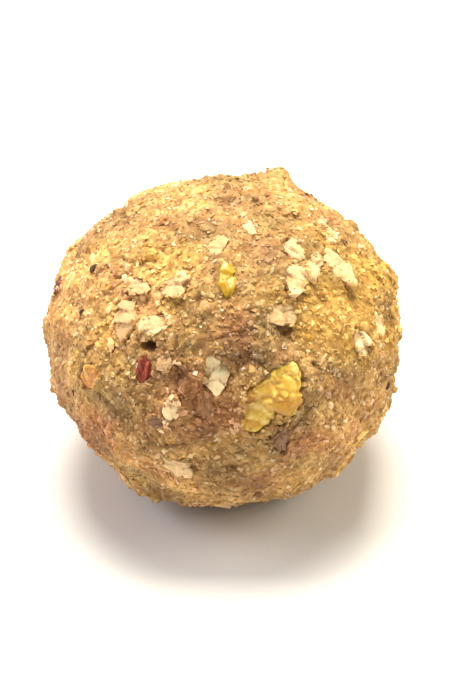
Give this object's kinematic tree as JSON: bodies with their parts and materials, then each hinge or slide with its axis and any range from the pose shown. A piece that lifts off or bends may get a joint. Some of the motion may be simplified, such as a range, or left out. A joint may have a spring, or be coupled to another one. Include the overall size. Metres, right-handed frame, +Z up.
{
  "type": "edible gum ladoo",
  "caption": "Hand-pressed round sweet of roasted flour with gum crystals, chopped nuts and dried fruit, slightly flattened where it rests.",
  "frame": {"origin": "centre of the flat spot that the ladoo rests on", "axes": "+Z up through the crown; -Y is the front, the side with the largest gum crystal; +X to the right as seen from the front"},
  "size_m": [0.0438, 0.0428, 0.0391],
  "materials": {
    "dough": "matte",
    "gum": "gloss",
    "nut": "matte",
    "pistachio": "matte",
    "fruit": "satin",
    "seed": "satin"
  },
  "bodies": {
    "root": {"ladoo": "dough"}
  },
  "joints": []
}
